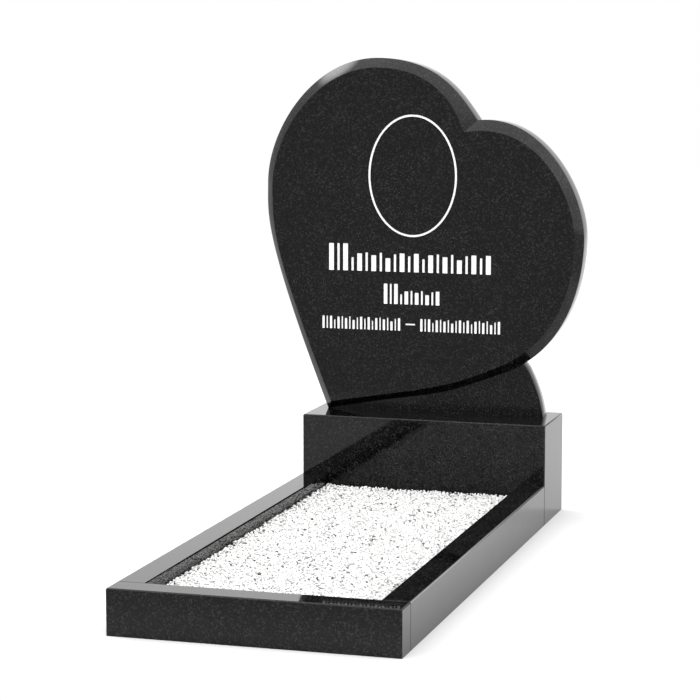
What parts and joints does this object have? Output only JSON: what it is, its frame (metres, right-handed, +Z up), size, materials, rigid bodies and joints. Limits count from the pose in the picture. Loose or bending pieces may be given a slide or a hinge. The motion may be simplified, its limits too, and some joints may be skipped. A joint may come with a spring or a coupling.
{
  "type": "headstone",
  "caption": "Upright tilted heart slab with a bevelled face on a rectangular plinth, with a low kerb round a bed of stone chips.",
  "frame": {"origin": "centre of the plinth's underside, on the ground", "axes": "+Z up, +Y from the foot of the grave to the slab and out behind it, +X to the right for someone who faces the slab"},
  "size_m": [0.6582, 1.22, 0.915],
  "materials": {
    "polished_granite": "polished black granite with a fine grey speckle",
    "marble_chips": "loose white marble chips, matt"
  },
  "bodies": {
    "root": {"headstone": "polished_granite", "plinth": "polished_granite", "kerb_front": "polished_granite", "kerb_left": "polished_granite", "kerb_right": "polished_granite", "gravel_bed": "marble_chips"}
  },
  "joints": []
}
